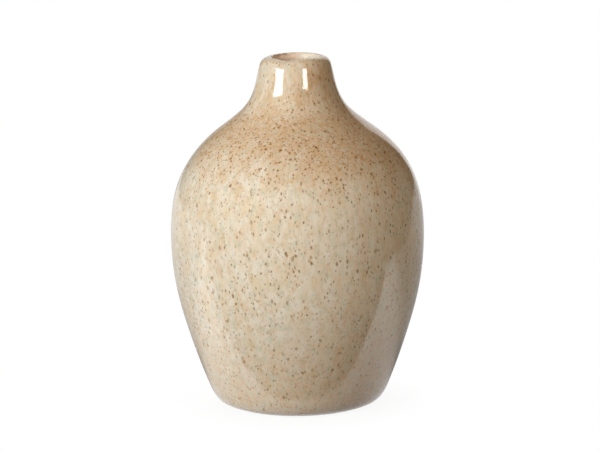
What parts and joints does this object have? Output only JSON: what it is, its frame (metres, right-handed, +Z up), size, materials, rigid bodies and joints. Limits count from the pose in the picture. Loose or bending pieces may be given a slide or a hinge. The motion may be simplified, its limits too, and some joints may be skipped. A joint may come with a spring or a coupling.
{
  "type": "bottle vase",
  "caption": "Round stoneware bottle vase with a narrow tapered neck, a soft rolled lip, a speckled glossy glaze and a bare foot ring.",
  "frame": {"origin": "middle of the foot, on the surface that the vase stands on", "axes": "+Z up along the vase's axis, out of its mouth; -Y towards the camera of the picture"},
  "size_m": [0.1086, 0.1086, 0.1504],
  "materials": {
    "stoneware_clay": "bare fired stoneware, matt and slightly gritty",
    "speckled_glaze": "glossy mottled beige reactive glaze with brown iron specks",
    "liner_glaze": "glossy pinkish brown liner glaze"
  },
  "bodies": {
    "root": {"clay_body": "stoneware_clay", "outer_glaze": "speckled_glaze", "liner_glaze": "liner_glaze", "foot_glaze": "speckled_glaze"}
  },
  "joints": []
}
